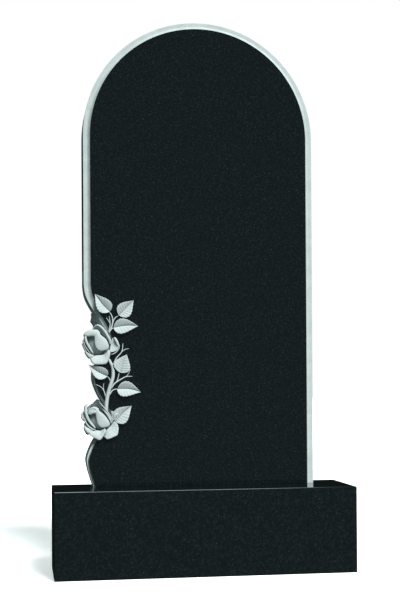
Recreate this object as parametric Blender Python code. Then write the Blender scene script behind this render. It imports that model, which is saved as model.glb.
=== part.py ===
"""Polished black headstone: an arched stele with a carved rose spray, standing on a plinth.

Every length is in metres. The front of the stone faces -Y, up is +Z, and the origin is on the
ground under the middle of the plinth.
"""
import math

import bmesh
import bpy
import numpy as np

# Plinth
PLINTH_WIDTH = 0.700
PLINTH_DEPTH = 0.200
PLINTH_HEIGHT = 0.200
PLINTH_ARRIS = 0.002

# Stele, a slab under a round arch
STELE_WIDTH = 0.550
STELE_HEIGHT = 1.100
STELE_THICKNESS = 0.080
BACK_MARGIN = 0.010       # from the back of the stele to the back of the plinth
BED_GAP = 0.0003          # bedding joint between plinth and stele

# Border along the edge of the polished face: a flat ledge, then a slope up to the face
LEDGE_WIDTH = 0.0088
SLOPE_WIDTH = 0.0072
BORDER_DEPTH = 0.006

# Carving: heights in front of the polished face
LEAF_LIFT = 0.0030
LEAF_FOLD = 0.0090
LEAF_ROOT = 0.0020        # how deep leaves and stalks are sunk in the face
PETAL_ROOT = 0.010        # how deep petals are sunk in the stone behind the rose
BUD_HEIGHT = 0.016
ROSE_GROUND = 0.0015      # face of the block of stone that carries a rose

# Left edge of the slab beside the carving, from the border down to the foot:
# (in from the left side, up from the foot)
WAVY_EDGE = [(0, 0.508), (0.0006, 0.478), (0.0052, 0.446), (0.019, 0.419), (0.04, 0.388), (0.055, 0.361),
             (0.061, 0.338), (0.055, 0.313), (0.038, 0.297), (0.024, 0.284), (0.0205, 0.266),
             (0.0215, 0.246), (0.0325, 0.217), (0.047, 0.198), (0.064, 0.178), (0.069, 0.16),
             (0.06, 0.139), (0.04, 0.124), (0.0245, 0.111), (0.013, 0.089), (0.0065, 0.064),
             (0.0083, 0.04), (0.014, 0.02), (0.0205, 0)]

# Border beside the carving: (height above the foot, width of the ledge, width of the slope)
NARROWING = [(0, 0.003, 0.002), (0.13, 0.0026, 0.0024), (0.2, 0.003, 0.0014), (0.285, 0.003, 0.0014),
             (0.34, 0.0015, 0.0045), (0.38, 0.0016, 0.0056), (0.41, 0.0016, 0.0065),
             (0.419, 0.0023, 0.0085), (0.428, 0.0042, 0.0092), (0.438, 0.0065, 0.009),
             (0.46, 0.0085, 0.0075)]

# Leaves: base, tip, width, sideways bow of the midrib
LEAVES = [
    dict(base=(0.06, 0.411), tip=(0.025, 0.453), width=0.035, bow=0.002),
    dict(base=(0.082, 0.402), tip=(0.117, 0.438), width=0.036, bow=0),
    dict(base=(0.069, 0.373), tip=(0.128, 0.377), width=0.035, bow=0.003),
    dict(base=(0.056, 0.262), tip=(0.012, 0.288), width=0.029, bow=0.003),
    dict(base=(0.084, 0.268), tip=(0.1, 0.311), width=0.04, bow=0.002),
    dict(base=(0.077, 0.229), tip=(0.133, 0.221), width=0.036, bow=0.004),
    dict(base=(0.073, 0.153), tip=(0.111, 0.19), width=0.038, bow=0.002),
]

# Stalks: radius at the start and the end, and the route
STEM = dict(start=0.005, end=0.0044,
            route=[(0.056, 0.304), (0.066, 0.29), (0.07, 0.268), (0.066, 0.249), (0.059, 0.232),
                   (0.054, 0.213), (0.051, 0.192), (0.052, 0.176)])
STALKS = [
    dict(start=0.0022, end=0.0014,
         route=[(0.058, 0.36), (0.066, 0.38), (0.066, 0.398), (0.058, 0.413)]),
    dict(start=0.0017, end=0.0014, route=[(0.066, 0.382), (0.072, 0.395), (0.085, 0.405)]),
    dict(start=0.0017, end=0.0014, route=[(0.06, 0.365), (0.066, 0.371), (0.074, 0.374)]),
    dict(start=0.0017, end=0.001, route=[(0.058, 0.363), (0.061, 0.381), (0.059, 0.401)]),
    dict(start=0.0013, end=0.0009, route=[(0.061, 0.383), (0.057, 0.39), (0.052, 0.397)]),
    dict(start=0.0026, end=0.0016,
         route=[(0.068, 0.282), (0.076, 0.302), (0.088, 0.317), (0.091, 0.337)]),
    dict(start=0.0015, end=0.001, route=[(0.087, 0.316), (0.096, 0.322), (0.105, 0.324)]),
    dict(start=0.002, end=0.0015, route=[(0.065, 0.237), (0.064, 0.25), (0.053, 0.264)]),
    dict(start=0.0028, end=0.0015,
         route=[(0.062, 0.23), (0.072, 0.244), (0.088, 0.253), (0.098, 0.258), (0.113, 0.259)]),
    dict(start=0.0014, end=0.0009, route=[(0.097, 0.257), (0.104, 0.266), (0.108, 0.276)]),
    dict(start=0.0018, end=0.0015, route=[(0.075, 0.245), (0.081, 0.257), (0.085, 0.273)]),
    dict(start=0.0026, end=0.0015, route=[(0.056, 0.213), (0.064, 0.226), (0.081, 0.23)]),
    dict(start=0.002, end=0.001, route=[(0.052, 0.206), (0.047, 0.224), (0.038, 0.235), (0.027, 0.24)]),
    dict(start=0.0012, end=0.0009, route=[(0.042, 0.23), (0.045, 0.237), (0.045, 0.244)]),
]

# The sepal behind the upper rose, which closes the gap between the border and the rose: from its
# outer edge, well behind the face, to its inner edge under the ledge of the border
SEPAL = dict(root=[(0.0205, 0.41, -0.012), (0.0215, 0.402, -0.028), (0.0194, 0.391, -0.036),
                   (0.0235, 0.385, -0.036), (0.0262, 0.378, -0.032), (0.029, 0.366, -0.028)],
             lip=[(0.0245, 0.412, -0.007), (0.031, 0.402, -0.007), (0.0385, 0.391, -0.007),
                  (0.0455, 0.38, -0.007), (0.0505, 0.371, -0.007), (0.055, 0.362, -0.007)], belly=0.001)

# Blocks of stone that carry the roses, sawn through the whole slab: an egg on a tilted axis
UPPER_BLOCK = dict(centre=(0.037, 0.333), half_length=0.042, half_width=0.033, tilt=25, taper=0)
LOWER_BLOCK = dict(centre=(0.037, 0.158), half_length=0.041, half_width=0.0345, tilt=10, taper=0)

# A rose is drawn as the upper one stands on the stone: (in, up, out of the face).
# Its heart is an egg, and a petal is stretched from its root line to its lip, the free edge.
HEART = dict(centre=(0.038, 0.341), half_length=0.027, half_width=0.017, tilt=24, taper=0.22)
INNER_PETALS = [
    # petal wrapped round the left of the heart: its side, hollow within, and its folded top
    dict(root=[(0.022, 0.354, 0.002), (0.018, 0.344, 0.001), (0.018, 0.334, 0.001),
               (0.022, 0.322, 0.001), (0.031, 0.314, 0.003)],
         lip=[(0.005, 0.36, 0.011), (0.003, 0.348, 0.012), (0.006, 0.337, 0.012), (0.014, 0.322, 0.011),
              (0.024, 0.309, 0.008)], belly=0.002),
    dict(root=[(0.006, 0.353, 0.009), (0.015, 0.352, 0.01), (0.027, 0.351, 0.012)],
         lip=[(0.002, 0.361, 0.009), (0.009, 0.368, 0.01), (0.02, 0.37, 0.01), (0.029, 0.367, 0.011)],
         belly=0.002),
]
UPPER_PETALS = [
    # rolled lip of the back petal, with a deep gap between it and the heart
    dict(root=[(0.029, 0.37, 0.008), (0.039, 0.367, 0.01), (0.048, 0.359, 0.011), (0.055, 0.345, 0.011),
               (0.059, 0.331, 0.008)],
         lip=[(0.02, 0.371, 0.005), (0.031, 0.38, 0.008), (0.043, 0.375, 0.009), (0.052, 0.364, 0.009),
              (0.059, 0.352, 0.008), (0.064, 0.34, 0.007), (0.061, 0.328, 0.005)], belly=0.001),
    # two petals seen edge on at the left
    dict(root=[(0.007, 0.347, 0.004), (0.009, 0.33, 0.005), (0.024, 0.31, 0.004)],
         lip=[(-0.001, 0.348, 0.006), (0.003, 0.332, 0.008), (0.02, 0.307, 0.006)], belly=0),
    dict(root=[(0.004, 0.339, 0.002), (0.008, 0.325, 0.003), (0.018, 0.31, 0.003)],
         lip=[(-0.004, 0.338, 0.003), (0.001, 0.324, 0.005), (0.013, 0.309, 0.004)], belly=0),
    # small petal below them
    dict(root=[(0.006, 0.318, 0.005), (0.014, 0.312, 0.006), (0.022, 0.308, 0.007)],
         lip=[(0.003, 0.315, 0.003), (0.007, 0.308, 0.004), (0.015, 0.301, 0.004)], belly=0.0015),
    # broad petal across the bottom, seen from outside
    dict(root=[(0.017, 0.3, 0.004), (0.022, 0.288, 0.003), (0.036, 0.286, 0.004), (0.051, 0.288, 0.004),
               (0.061, 0.309, 0.005)],
         lip=[(0.019, 0.305, 0.009), (0.027, 0.308, 0.011), (0.043, 0.309, 0.013), (0.051, 0.314, 0.013),
              (0.057, 0.321, 0.01)], belly=0.0035),
    # petal that opens to the right
    dict(root=[(0.066, 0.346, 0.004), (0.061, 0.33, 0.004), (0.06, 0.314, 0.006)],
         lip=[(0.071, 0.352, 0.006), (0.08, 0.34, 0.008), (0.085, 0.329, 0.008), (0.077, 0.315, 0.008),
              (0.066, 0.309, 0.006)], belly=-0.002),
]
LOWER_PETALS = [
    # back petal, with a deep gap between it and the heart
    dict(root=[(0.024, 0.191, 0.007), (0.038, 0.187, 0.009), (0.048, 0.178, 0.01), (0.057, 0.165, 0.01),
               (0.061, 0.152, 0.008)],
         lip=[(0.013, 0.187, 0.005), (0.02, 0.196, 0.0065), (0.029, 0.2045, 0.007),
              (0.037, 0.2005, 0.008), (0.047, 0.191, 0.009), (0.057, 0.18, 0.009),
              (0.0645, 0.167, 0.0085), (0.0665, 0.15, 0.006)], belly=0.001),
    # tip of a petal at the far left
    dict(root=[(0.005, 0.173, 0.003), (0.005, 0.16, 0.004)],
         lip=[(-0.0016, 0.176, 0.003), (-0.0046, 0.1725, 0.0035), (-0.0062, 0.1675, 0.004),
              (-0.005, 0.1615, 0.004), (-0.0015, 0.1575, 0.004)], belly=0),
    # petal seen edge on
    dict(root=[(0.008, 0.153, 0.005), (0.014, 0.145, 0.005), (0.024, 0.137, 0.005)],
         lip=[(0, 0.153, 0.006), (0.006, 0.144, 0.008), (0.013, 0.138, 0.008), (0.022, 0.134, 0.007)],
         belly=0),
    # rounded petal at the lower left
    dict(root=[(0.005, 0.144, 0.004), (0.012, 0.136, 0.007), (0.02, 0.132, 0.008)],
         lip=[(-0.001, 0.146, 0.003), (-0.001, 0.136, 0.004), (0.005, 0.127, 0.004),
              (0.014, 0.124, 0.004)], belly=0.002),
    # petal across the bottom, seen from outside
    dict(root=[(0.016, 0.126, 0.005), (0.025, 0.116, 0.004), (0.035, 0.111, 0.004), (0.046, 0.12, 0.005),
               (0.051, 0.131, 0.006)],
         lip=[(0.017, 0.13, 0.009), (0.03, 0.132, 0.011), (0.038, 0.132, 0.012), (0.047, 0.138, 0.011)],
         belly=0.003),
    # petal at the lower right
    dict(root=[(0.049, 0.13, 0.007), (0.056, 0.139, 0.009), (0.065, 0.149, 0.008)],
         lip=[(0.045, 0.119, 0.006), (0.052, 0.112, 0.007), (0.068, 0.118, 0.008), (0.077, 0.124, 0.008),
              (0.079, 0.14, 0.007), (0.072, 0.152, 0.006)], belly=0.0015),
    # small petal behind the right of the flower
    dict(root=[(0.062, 0.171, 0.003), (0.066, 0.163, 0.003), (0.069, 0.157, 0.004)],
         lip=[(0.058, 0.181, 0.004), (0.069, 0.177, 0.006), (0.076, 0.17, 0.006)], belly=-0.0005),
]
# The heart and inner petals of the lower rose, from those of the upper one (turned by degrees)
LOWER_ROSE_TURN = 5
LOWER_ROSE_SHIFT = (0.0015, -0.1785)
ROSE_CENTRE = (0.038, 0.34)

# How finely the round forms are divided
ARCH_STEPS = 40
EDGE_STEPS = 60
LEAF_STEPS = 10
STALK_SIDES = 8
HEART_SIDES = 24
HEART_RINGS = 5
BLOCK_SIDES = 32
PETAL_STEPS = 11
PETAL_ROWS = 5


def smooth_curve(points, count):
    """Read count points from a Catmull-Rom curve through the given ones, evenly by length."""
    points = np.asarray(points, float)
    if len(points) < 3:
        share = np.linspace(0, 1, count)[:, None]
        return points[0] * (1 - share) + points[-1] * share
    ends = np.vstack([2 * points[0] - points[1], points, 2 * points[-1] - points[-2]])
    fine = []
    for a, b, c, d in zip(ends[:-3], ends[1:-2], ends[2:-1], ends[3:]):
        t = np.linspace(0, 1, 24, endpoint=False)[:, None]
        fine.append(0.5 * (2 * b + (c - a) * t + (2 * a - 5 * b + 4 * c - d) * t ** 2
                           + (3 * b - a - 3 * c + d) * t ** 3))
    fine = np.vstack(fine + [points[-1:]])
    run = np.concatenate([[0], np.cumsum(np.linalg.norm(np.diff(fine, axis=0), axis=1))])
    wanted = np.linspace(0, run[-1], count)
    return np.column_stack([np.interp(wanted, run, column) for column in fine.T])


def left_normals(line):
    """Unit vectors at right angles to an open plane line, on its left as it is walked."""
    along = np.gradient(line, axis=0)
    along /= np.linalg.norm(along, axis=1)[:, None]
    return np.column_stack([-along[:, 1], along[:, 0]])


def slab_edge():
    """Edge of the slab from the right foot over the arch to the left foot, and how wide the
    ledge and the slope are at each point."""
    radius = STELE_WIDTH / 2
    spring = STELE_HEIGHT - radius
    angle = np.linspace(0, math.pi, ARCH_STEPS + 1)
    arch = np.column_stack([radius + radius * np.cos(angle), spring + radius * np.sin(angle)])
    wavy = smooth_curve(WAVY_EDGE, EDGE_STEPS)
    edge = np.vstack([[[STELE_WIDTH, 0]], arch, wavy])
    height, ledges, slopes = np.array(NARROWING + [(WAVY_EDGE[0][1], LEDGE_WIDTH, SLOPE_WIDTH)]).T
    ledge = np.interp(edge[:, 1], height, ledges)
    slope = np.interp(edge[:, 1], height, slopes)
    ledge[:ARCH_STEPS + 2] = LEDGE_WIDTH
    slope[:ARCH_STEPS + 2] = SLOPE_WIDTH
    return edge, ledge, slope


def add_strip(mesh, rows):
    """Quads between neighbouring rows of vertices."""
    for low, high in zip(rows[:-1], rows[1:]):
        for i in range(len(low) - 1):
            mesh.faces.new((low[i], low[i + 1], high[i + 1], high[i]))


def slab_mesh():
    """Slab with its border: the section back, ledge, slope, face carried along the edge."""
    edge, ledge, slope = slab_edge()
    inward = left_normals(edge)
    inward[0] = (-1, 0)
    inward[-1] = (1, 0)
    rings = []
    for offset, depth in ((0 * ledge, -STELE_THICKNESS), (0 * ledge, -BORDER_DEPTH),
                          (ledge, -BORDER_DEPTH), (ledge + slope, 0.0)):
        line = edge + inward * offset[:, None]
        rings.append(np.column_stack([line, np.full(len(line), depth)]))
    mesh = bmesh.new()
    rows = [[mesh.verts.new(point) for point in ring] for ring in rings]
    add_strip(mesh, rows)
    mesh.faces.new(rows[0])
    mesh.faces.new(rows[-1])
    mesh.faces.new([row[0] for row in rows] + [row[-1] for row in reversed(rows)])
    return mesh


def add_lump(mesh, top, floor):
    """Closed lump of stone: a curved top, given as a grid, with walls down to the floor."""
    rows = [[mesh.verts.new(point) for point in row] for row in top]
    add_strip(mesh, rows)
    rim = rows[0] + [row[-1] for row in rows[1:-1]] + rows[-1][::-1] + [row[0] for row in rows[-2:0:-1]]
    foot = [mesh.verts.new((vert.co.x, vert.co.y, floor)) for vert in rim]
    for i, vert in enumerate(rim):
        mesh.faces.new((vert, rim[i - 1], foot[i - 1], foot[i]))
    mesh.faces.new(foot)


def add_dome(mesh, form, height, floor):
    """Egg-shaped dome on a tilted axis, with an upright wall down to the floor."""
    outline = egg(form, HEART_SIDES)
    centre = np.array(form["centre"])
    rows = []
    for k in range(1, HEART_RINGS + 1):
        angle = math.pi / 2 * k / HEART_RINGS
        ring = centre + (outline - centre) * math.sin(angle)
        rows.append([mesh.verts.new((x, y, height * math.cos(angle))) for x, y in ring])
    rows.append([mesh.verts.new((x, y, floor)) for x, y in outline])
    for row in rows:
        row.append(row[0])
    add_strip(mesh, rows)
    mesh.faces.new(rows[-1][:-1])
    pole = mesh.verts.new((centre[0], centre[1], height))
    for i in range(HEART_SIDES):
        mesh.faces.new((pole, rows[0][i], rows[0][i + 1]))


def egg(form, count):
    """Points on an egg whose thin end leans to the left of upright by its tilt: at the angle a
    from that end, half_length cos a along the axis and half_width sin a (1 - taper cos a) across."""
    angle = np.linspace(0, 2 * math.pi, count, endpoint=False)
    lean = math.radians(90 + form["tilt"])
    along = form["half_length"] * np.cos(angle)
    across = form["half_width"] * np.sin(angle) * (1 - form["taper"] * np.cos(angle))
    return (np.array(form["centre"]) + np.outer(along, (math.cos(lean), math.sin(lean)))
            + np.outer(across, (math.sin(lean), -math.cos(lean))))


def add_block(mesh, form, top):
    """Block of stone through the whole thickness of the slab."""
    outline = egg(form, BLOCK_SIDES)
    upper = [mesh.verts.new((x, y, top)) for x, y in outline]
    lower = [mesh.verts.new((x, y, -STELE_THICKNESS)) for x, y in outline]
    for i in range(BLOCK_SIDES):
        mesh.faces.new((upper[i], upper[i - 1], lower[i - 1], lower[i]))
    mesh.faces.new(upper)
    mesh.faces.new(lower)


def add_leaf(mesh, form, lift, fold, floor):
    """Leaf folded upwards along a sunk midrib: its half width at the share t of its length goes
    with t^0.55 (1 - t)^1.05, widest a third of the way along."""
    base, tip = np.array(form["base"]), np.array(form["tip"])
    along = tip - base
    side = np.array([-along[1], along[0]]) / np.linalg.norm(along)
    t = np.linspace(0, 1, LEAF_STEPS + 1)
    midrib = base + np.outer(t, along) + np.outer(form["bow"] * np.sin(math.pi * t), side)
    spread = np.clip(t, 0.01, 0.98)
    shape = spread ** 0.55 * (1 - spread) ** 1.05
    half = form["width"] / 2 * shape / shape.max()
    top = []
    for share in (-1, -0.55, 0, 0.55, 1):
        line = midrib + np.outer(half * share, side)
        height = lift * (1 - 0.4 * t ** 3) + fold * abs(share) * (1 - 0.4 * abs(share))
        top.append(np.column_stack([line, height]))
    add_lump(mesh, top, floor)


def add_stalk(mesh, form, floor):
    """Round stalk that lies half sunk along its route and thins towards its end."""
    count = max(4, int(round(2.2 * len(form["route"]))))
    route = smooth_curve(form["route"], count)
    side = left_normals(route)
    radius = np.linspace(form["start"], form["end"], count)
    angle = np.linspace(0, 2 * math.pi, STALK_SIDES, endpoint=False)
    rows = []
    for point, normal, r in zip(route, side, radius):
        flat = point + np.outer(r * np.cos(angle), normal)
        height = floor + r * (1 + np.sin(angle))
        row = [mesh.verts.new((x, y, z)) for (x, y), z in zip(flat, height)]
        rows.append(row)
    for row in rows:
        row.append(row[0])
    add_strip(mesh, rows)
    mesh.faces.new(rows[0][:-1])
    mesh.faces.new(rows[-1][:-1])


def placed(points, turn, shift):
    """Points of a rose turned about its centre and moved."""
    points = np.array(points, float)
    centre = np.array(ROSE_CENTRE)
    angle = math.radians(turn)
    spin = np.array([[math.cos(angle), math.sin(angle)], [-math.sin(angle), math.cos(angle)]])
    points[..., :2] = (points[..., :2] - centre) @ spin + centre + shift
    return points


def add_petal(mesh, form, turn=0, shift=(0, 0), floor=-PETAL_ROOT):
    """Petal stretched from its root line to its lip, with a belly between them."""
    root = smooth_curve(placed(form["root"], turn, shift), PETAL_STEPS)
    lip = smooth_curve(placed(form["lip"], turn, shift), PETAL_STEPS)
    top = []
    for t in np.linspace(0, 1, PETAL_ROWS):
        row = root * (1 - t) + lip * t
        row[:, 2] += form["belly"] * math.sin(math.pi * t)
        top.append(row)
    add_lump(mesh, top, floor)


def add_rose(mesh, block, outer_petals, turn, shift):
    """One open rose: its block, its heart and the petals round it."""
    add_block(mesh, block, ROSE_GROUND)
    centre = placed(HEART["centre"], turn, shift)
    add_dome(mesh, dict(HEART, centre=centre, tilt=HEART["tilt"] + turn), BUD_HEIGHT, -PETAL_ROOT)
    for form in INNER_PETALS:
        add_petal(mesh, form, turn, shift)
    for form in outer_petals:
        add_petal(mesh, form)


def carving_mesh():
    """Everything carved in front of the slab: leaves, stalks, sepal and the two roses."""
    mesh = bmesh.new()
    for form in LEAVES:
        add_leaf(mesh, form, LEAF_LIFT, LEAF_FOLD, -LEAF_ROOT)
    for form in [STEM] + STALKS:
        add_stalk(mesh, form, -LEAF_ROOT)
    add_petal(mesh, SEPAL, floor=-STELE_THICKNESS)
    add_rose(mesh, UPPER_BLOCK, UPPER_PETALS, 0, (0, 0))
    add_rose(mesh, LOWER_BLOCK, LOWER_PETALS, LOWER_ROSE_TURN, LOWER_ROSE_SHIFT)
    return mesh


def plinth_mesh():
    """Rectangular block with a narrow chamfer on every edge."""
    mesh = bmesh.new()
    bmesh.ops.create_cube(mesh, size=1.0)
    bmesh.ops.scale(mesh, vec=(PLINTH_WIDTH, PLINTH_DEPTH, PLINTH_HEIGHT), verts=mesh.verts)
    bmesh.ops.bevel(mesh, geom=mesh.edges[:], offset=PLINTH_ARRIS, segments=1, affect="EDGES")
    return mesh


def stone(name, colour, roughness):
    """Material of one stone finish."""
    material = bpy.data.materials.new(name)
    material.use_nodes = True
    shader = material.node_tree.nodes["Principled BSDF"]
    shader.inputs["Base Color"].default_value = (*colour, 1)
    shader.inputs["Roughness"].default_value = roughness
    shader.inputs["Metallic"].default_value = 0.0
    return material


def add_object(name, mesh, material, location, turn=0.0):
    """Object of one closed mesh whose faces point outwards."""
    bmesh.ops.recalc_face_normals(mesh, faces=mesh.faces[:])
    data = bpy.data.meshes.new(name)
    mesh.to_mesh(data)
    mesh.free()
    data.materials.append(material)
    item = bpy.data.objects.new(name, data)
    item.location = location
    item.rotation_euler = (turn, 0, 0)
    bpy.context.scene.collection.objects.link(item)
    return item


def main():
    for old in list(bpy.data.objects):
        bpy.data.objects.remove(old, do_unlink=True)
    black = stone("polished black stone", (0.008, 0.011, 0.012), 0.12)
    plinth_black = stone("polished black plinth", (0.008, 0.011, 0.012), 0.10)

    add_object("plinth", plinth_mesh(), plinth_black, (0, 0, PLINTH_HEIGHT / 2))

    # the carving is drawn on the face: x in from the left side, y up, z out of the face
    front = BACK_MARGIN + STELE_THICKNESS - PLINTH_DEPTH / 2
    corner = (-STELE_WIDTH / 2, -front, PLINTH_HEIGHT + BED_GAP)
    stele = add_object("stele", slab_mesh(), black, corner, math.pi / 2)
    carving = add_object("carving", carving_mesh(), black, corner, math.pi / 2)
    carving.hide_render = True
    carving.display_type = "WIRE"
    union = stele.modifiers.new("carving", "BOOLEAN")
    union.operation = "UNION"
    union.solver = "EXACT"
    union.use_self = True
    union.object = carving


main()
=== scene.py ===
import math

import bmesh
import bpy
import numpy as np
from mathutils import Matrix, Vector


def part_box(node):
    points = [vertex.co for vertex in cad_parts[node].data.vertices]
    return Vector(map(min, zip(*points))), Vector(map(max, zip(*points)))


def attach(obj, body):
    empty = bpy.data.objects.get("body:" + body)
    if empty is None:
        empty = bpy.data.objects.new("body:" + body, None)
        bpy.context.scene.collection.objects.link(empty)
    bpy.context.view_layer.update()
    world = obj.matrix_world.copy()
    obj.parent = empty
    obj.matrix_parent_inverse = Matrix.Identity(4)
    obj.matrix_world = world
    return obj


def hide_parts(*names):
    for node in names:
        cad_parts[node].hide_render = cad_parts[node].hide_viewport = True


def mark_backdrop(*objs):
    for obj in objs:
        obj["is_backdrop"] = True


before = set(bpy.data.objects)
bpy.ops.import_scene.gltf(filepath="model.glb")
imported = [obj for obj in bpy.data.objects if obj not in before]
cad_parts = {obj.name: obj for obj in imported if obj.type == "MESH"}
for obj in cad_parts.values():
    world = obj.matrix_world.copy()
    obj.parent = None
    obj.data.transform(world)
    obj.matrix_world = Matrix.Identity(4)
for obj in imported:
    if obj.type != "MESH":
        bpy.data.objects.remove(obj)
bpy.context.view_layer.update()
print("frame loaded:", ", ".join(sorted(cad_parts)))

mm = 0.001

# The carving is drawn in millimetres on the polished face: in from the left side of the stele,
# up from its foot, and out of the face. The frame says where that is.
steleWidth = 550
steleHeight = 1100
steleThickness = 80
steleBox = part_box("stele")
leftX = steleBox[1].x - steleWidth * mm
faceY = steleBox[1].y - steleThickness * mm
footZ = steleBox[0].z


# Curve tools

# Catmull-Rom curve through the points, read at count even steps of its length; each stretch is
# (2b + (c - a)t + (2a - 5b + 4c - d)t^2 + (3b - a - 3c + d)t^3) / 2 for four neighbours a, b, c, d
def curveThrough(points, count, closed=False, perStretch=20):
    points = np.asarray(points, float)
    if closed:
        points = np.vstack([points[-1:], points, points[:2]])
    else:
        points = np.vstack([2 * points[0] - points[1], points, 2 * points[-1] - points[-2]])
    t = np.linspace(0, 1, perStretch, endpoint=False)[None, :, None]
    a, b, c, d = (points[i:len(points) - 3 + i, None, :] for i in range(4))
    fine = (2 * b + (c - a) * t + (2 * a - 5 * b + 4 * c - d) * t ** 2
            + (3 * b - a - 3 * c + d) * t ** 3) / 2
    fine = np.vstack([fine.reshape(-1, points.shape[1]), points[-2:-1]])
    run = np.concatenate([[0], np.cumsum(np.linalg.norm(np.diff(fine, axis=0), axis=1))])
    wanted = np.linspace(0, run[-1], count + closed)[:count]
    return np.column_stack([np.interp(wanted, run, column) for column in fine.T])


# Unit vectors to the left of a plane line as it is walked: its direction (x, y) turned to (-y, x)
def leftOf(line):
    along = np.gradient(line[:, :2], axis=0)
    along /= np.linalg.norm(along, axis=1)[:, None]
    return np.column_stack([-along[:, 1], along[:, 0]])


# Quads between neighbouring points of a grid; wrap joins the last column to the first
def gridFaces(rows, columns, wrap=False):
    low = columns * np.arange(rows - 1)[:, None]
    here = np.arange(columns if wrap else columns - 1)[None, :]
    after = (here + 1) % columns
    quads = [low + here, low + after, low + columns + after, low + columns + here]
    return np.stack(quads, axis=2).reshape(-1, 4)


# Block of stone under a curved top: the grid of the top, a wall from its rim down to the floor that
# leans in towards the rim's middle by the undercut share, and a flat underside
def blockUnder(top, floor, undercut=0.0):
    rows, columns = top.shape[:2]
    index = np.arange(rows * columns).reshape(rows, columns)
    rim = np.concatenate([index[0, :-1], index[:-1, -1], index[-1, :0:-1], index[:0:-1, 0]])
    points = top.reshape(-1, 3)
    middle = points[rim].mean(axis=0)
    foot = middle + (points[rim] - middle) * (1 - undercut)
    foot[:, 2] = floor
    below = len(points) + np.arange(len(rim))
    wall = np.column_stack([rim, below, np.roll(below, -1), np.roll(rim, -1)])
    faces = np.vstack([gridFaces(rows, columns), wall]).tolist() + [below.tolist()]
    return np.vstack([points, foot]), faces


# Finishes of the black stone

# New node with its settings and the values of its inputs
def addNode(tree, kind, values=None, **settings):
    node = tree.nodes.new(kind)
    for key, value in settings.items():
        setattr(node, key, value)
    for key, value in (values or {}).items():
        node.inputs[key].default_value = value
    return node


# Goes from 0 to 1 between the two ends, which may run downwards
def rampNode(tree, ends, kind="LINEAR"):
    return addNode(tree, "ShaderNodeMapRange", {"From Min": ends[0], "From Max": ends[1]},
                   interpolation_type=kind)


def noiseNode(tree, scale, detail, roughness):
    return addNode(tree, "ShaderNodeTexNoise",
                   {"Scale": scale, "Detail": detail, "Roughness": roughness})


# Mixes two colours; one that is left out comes by a link
def mixColours(tree, first, second):
    node = addNode(tree, "ShaderNodeMix", data_type="RGBA")
    for key, colour in (("A", first), ("B", second)):
        if colour:
            node.inputs[key].default_value = colour
    return node


# Material with its tree, its shader and the place of each point on the piece
def newFinish(name, roughness, refraction):
    finish = bpy.data.materials.new(name)
    finish.use_nodes = True
    shader = finish.node_tree.nodes["Principled BSDF"]
    shader.inputs["Roughness"].default_value = roughness
    shader.inputs["IOR"].default_value = refraction
    place = addNode(finish.node_tree, "ShaderNodeTexCoord")
    return finish, finish.node_tree, shader, place.outputs["Object"]


# Colours are linear
polish = {
    "ground": (0.0010, 0.0021, 0.0023, 1),     # the dark mass of the stone
    "grain": (0.0071, 0.0093, 0.0098, 1),      # its greyer crystals
    "fleck": (0.030, 0.040, 0.040, 1),         # few bright crystals
    "noise": (215, 4, 0.75),                   # scale, detail and roughness of the grain
    "grainRange": (0.47, 0.70),                # noise that is all ground, and all grain
    "fleckScale": 220,
    "fleckSize": (0.22, 0.10),                 # from the rim of a fleck to its full colour, in cells
    "fleckChoice": (0.86, 0.92),               # random value above which a cell holds a fleck
    "refraction": 1.5,
    "roughness": (0.02, 0.08),
}


# Polished face: fine grey crystals in black by noise, few bright flecks by small cells, and a gloss
# that varies with the crystals
def polishedStone():
    smooth, rough = polish["roughness"]
    finish, tree, shader, place = newFinish("polished black stone", rough, polish["refraction"])
    grain = noiseNode(tree, *polish["noise"])
    spread = rampNode(tree, polish["grainRange"])
    body = mixColours(tree, polish["ground"], polish["grain"])
    cells = addNode(tree, "ShaderNodeTexVoronoi", {"Scale": polish["fleckScale"]})
    core = rampNode(tree, polish["fleckSize"])
    chosen = addNode(tree, "ShaderNodeSeparateColor")
    few = rampNode(tree, polish["fleckChoice"])
    spot = addNode(tree, "ShaderNodeMath", operation="MULTIPLY")
    flecked = mixColours(tree, None, polish["fleck"])
    gloss = addNode(tree, "ShaderNodeMapRange", {"To Min": smooth, "To Max": rough})
    tree.links.new(place, grain.inputs["Vector"])
    tree.links.new(place, cells.inputs["Vector"])
    tree.links.new(grain.outputs["Fac"], spread.inputs["Value"])
    tree.links.new(spread.outputs["Result"], body.inputs["Factor"])
    tree.links.new(cells.outputs["Distance"], core.inputs["Value"])
    tree.links.new(cells.outputs["Color"], chosen.inputs["Color"])
    tree.links.new(chosen.outputs["Red"], few.inputs["Value"])
    tree.links.new(core.outputs["Result"], spot.inputs[0])
    tree.links.new(few.outputs["Result"], spot.inputs[1])
    tree.links.new(body.outputs["Result"], flecked.inputs["A"])
    tree.links.new(spot.outputs["Value"], flecked.inputs["Factor"])
    tree.links.new(flecked.outputs["Result"], shader.inputs["Base Color"])
    tree.links.new(grain.outputs["Fac"], gloss.inputs["Value"])
    tree.links.new(gloss.outputs["Result"], shader.inputs["Roughness"])
    return finish


tooled = {
    "light": (0.330, 0.365, 0.365, 1),     # stone bruised white by the chisel
    "dark": (0.235, 0.278, 0.275, 1),
    "fineNoise": (760, 5, 0.7),            # scale, detail and roughness
    "broadNoise": (45, 3, 0.5),
    "broadShare": 0.35,
    "lightRange": (0.34, 0.62),            # noise that is all dark, and all light
    "bumpDepth": 0.00035,                  # metres
    "bumpStrength": 0.55,
    "roughness": 0.82,
    "refraction": 1.4,
}


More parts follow.
